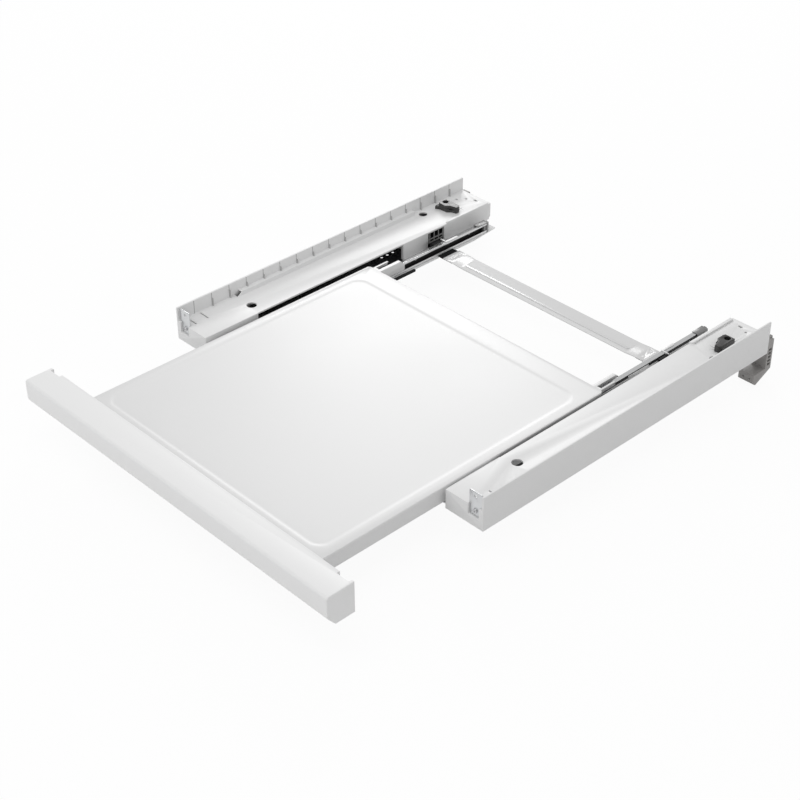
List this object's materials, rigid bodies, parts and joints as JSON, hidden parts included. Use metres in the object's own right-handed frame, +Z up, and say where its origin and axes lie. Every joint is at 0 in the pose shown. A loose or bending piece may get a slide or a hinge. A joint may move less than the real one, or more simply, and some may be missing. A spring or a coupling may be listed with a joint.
{
  "type": "stacking kit with pull-out shelf",
  "caption": "Stacking frame for a dryer on a washer: side rails with rear hooks and a cross bar, and a pull-out shelf on ball slides between the rails.",
  "frame": {"origin": "centre of the rear cross bar's flat underside, in the plane on which the rails sit", "axes": "+X to the kit's right, +Y to the back (the shelf pulls out along -Y), +Z up"},
  "size_m": [0.6, 0.8282, 0.0951],
  "materials": {
    "white_plastic": "satin white moulded plastic",
    "white_steel": "white powder-coated sheet steel",
    "zinc_steel": "zinc-plated steel",
    "fastener_steel": "zinc-plated screws and rivets",
    "black_steel": "blackened steel pivot screws",
    "ball_steel": "polished bearing steel",
    "black_plastic": "black moulded plastic",
    "dark_plastic": "dark grey moulded plastic",
    "grey_plastic": "warm grey moulded plastic"
  },
  "bodies": {
    "frame": {"left_rail_housing": "white_plastic", "right_rail_housing": "white_plastic", "left_rail_base": "white_steel", "right_rail_base": "white_steel", "base_screws": "fastener_steel", "left_front_tab": "zinc_steel", "right_front_tab": "zinc_steel", "front_tab_screws": "fastener_steel", "left_rear_hook": "grey_plastic", "right_rear_hook": "grey_plastic", "rear_hook_screws": "fastener_steel", "rear_cross_bar": "white_steel", "cross_bar_rivets": "white_steel", "left_cross_bar_end": "black_plastic", "right_cross_bar_end": "black_plastic", "left_slide_outer": "zinc_steel", "right_slide_outer": "zinc_steel", "slide_rivets": "fastener_steel", "left_slide_end_cap": "dark_plastic", "right_slide_end_cap": "dark_plastic", "clamp_pivots": "black_steel"},
    "shelf": {"shelf_panel": "white_steel", "front_bar": "white_plastic", "front_bar_screws": "fastener_steel", "left_shelf_bracket": "white_steel", "right_shelf_bracket": "white_steel", "bracket_rivets": "fastener_steel", "left_slide_inner": "zinc_steel", "right_slide_inner": "zinc_steel", "left_keeper_arm": "black_plastic", "right_keeper_arm": "black_plastic", "keeper_screws": "fastener_steel"},
    "left_cage": {"left_ball_cage": "zinc_steel", "left_bearing_balls": "ball_steel"},
    "right_cage": {"right_ball_cage": "zinc_steel", "right_bearing_balls": "ball_steel"},
    "left_clamp": {"left_foot_clamp": "dark_plastic"},
    "right_clamp": {"right_foot_clamp": "dark_plastic"}
  },
  "joints": [
    {"name": "shelf_slide", "type": "slide", "parent": "frame", "child": "shelf", "axis": [0, -1, 0], "range_m": [-0.206, 0.094]},
    {"name": "left_cage_travel", "type": "slide", "parent": "frame", "child": "left_cage", "axis": [0, -1, 0], "range_m": [-0.103, 0.047]},
    {"name": "right_cage_travel", "type": "slide", "parent": "frame", "child": "right_cage", "axis": [0, -1, 0], "range_m": [-0.103, 0.047]},
    {"name": "left_clamp_swivel", "type": "hinge", "parent": "frame", "child": "left_clamp", "pos_m": [-0.2735, 0.0625, 0.0299], "axis": [0, 0, 1], "range_deg": [-90, 0]},
    {"name": "right_clamp_swivel", "type": "hinge", "parent": "frame", "child": "right_clamp", "pos_m": [0.2735, 0.0625, 0.0299], "axis": [0, 0, 1], "range_deg": [-90, 0]}
  ],
  "couplings": [
    {"joint": "left_cage_travel", "follows": "shelf_slide", "ratio": 0.5},
    {"joint": "right_cage_travel", "follows": "shelf_slide", "ratio": 0.5}
  ]
}
